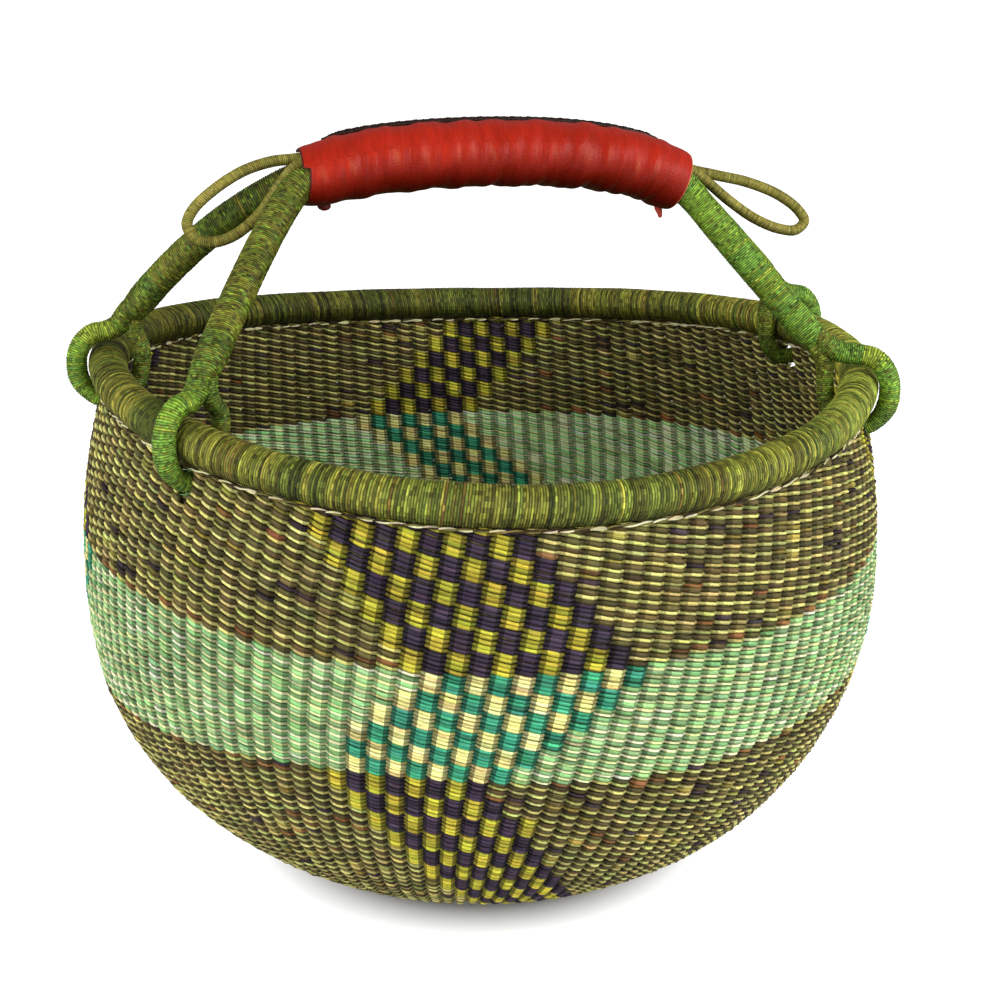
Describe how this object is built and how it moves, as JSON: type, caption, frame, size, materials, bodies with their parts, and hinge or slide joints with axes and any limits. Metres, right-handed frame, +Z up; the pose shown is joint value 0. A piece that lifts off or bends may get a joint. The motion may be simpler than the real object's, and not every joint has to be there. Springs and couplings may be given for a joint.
{
  "type": "round market basket",
  "caption": "Round woven grass basket in dark and green bands, with a thick wrapped rim and an arched carrying handle covered in red leather.",
  "frame": {"origin": "middle of the flat the basket stands on", "axes": "+X along the handle, towards the end with the lower attachments; +Y across the handle, away from its front bow; +Z up"},
  "size_m": [0.3996, 0.3946, 0.3744],
  "materials": {
    "dark_grass": "matt, twined in dark brown and olive straw",
    "teal_grass": "matt, twined in mint and mid green",
    "green_grass": "matt, wrapped crossways",
    "straw": "matt, undyed",
    "handle_grass": "matt, wrapped crossways",
    "red_leather": "smooth, soft sheen, small creases",
    "seam_leather": "dark laced edge",
    "twisted_grass": "matt, finely wrapped cord"
  },
  "bodies": {
    "basket": {"base_weave": "dark_grass", "lower_band": "dark_grass", "teal_band": "teal_grass", "upper_band": "dark_grass", "rim_core": "straw", "rim_wrap": "green_grass", "edge_cord_outer": "straw", "edge_cord_inner": "straw"},
    "handle": {"front_bow": "handle_grass", "back_bow": "handle_grass", "rim_loop_front_left": "handle_grass", "rim_loop_front_right": "handle_grass", "rim_loop_back_left": "handle_grass", "rim_loop_back_right": "handle_grass", "grip_leather": "red_leather", "grip_padding_top": "straw", "grip_padding_bottom": "straw", "grip_seam": "seam_leather", "lace_end_left": "red_leather", "lace_end_right": "red_leather", "hang_loop_left": "twisted_grass", "hang_loop_right": "twisted_grass"}
  },
  "joints": [
    {"name": "handle_rock", "type": "hinge", "parent": "basket", "child": "handle", "pos_m": [0, -0.03, 0.25], "axis": [1, 0, 0], "range_deg": [-2, 2]}
  ]
}
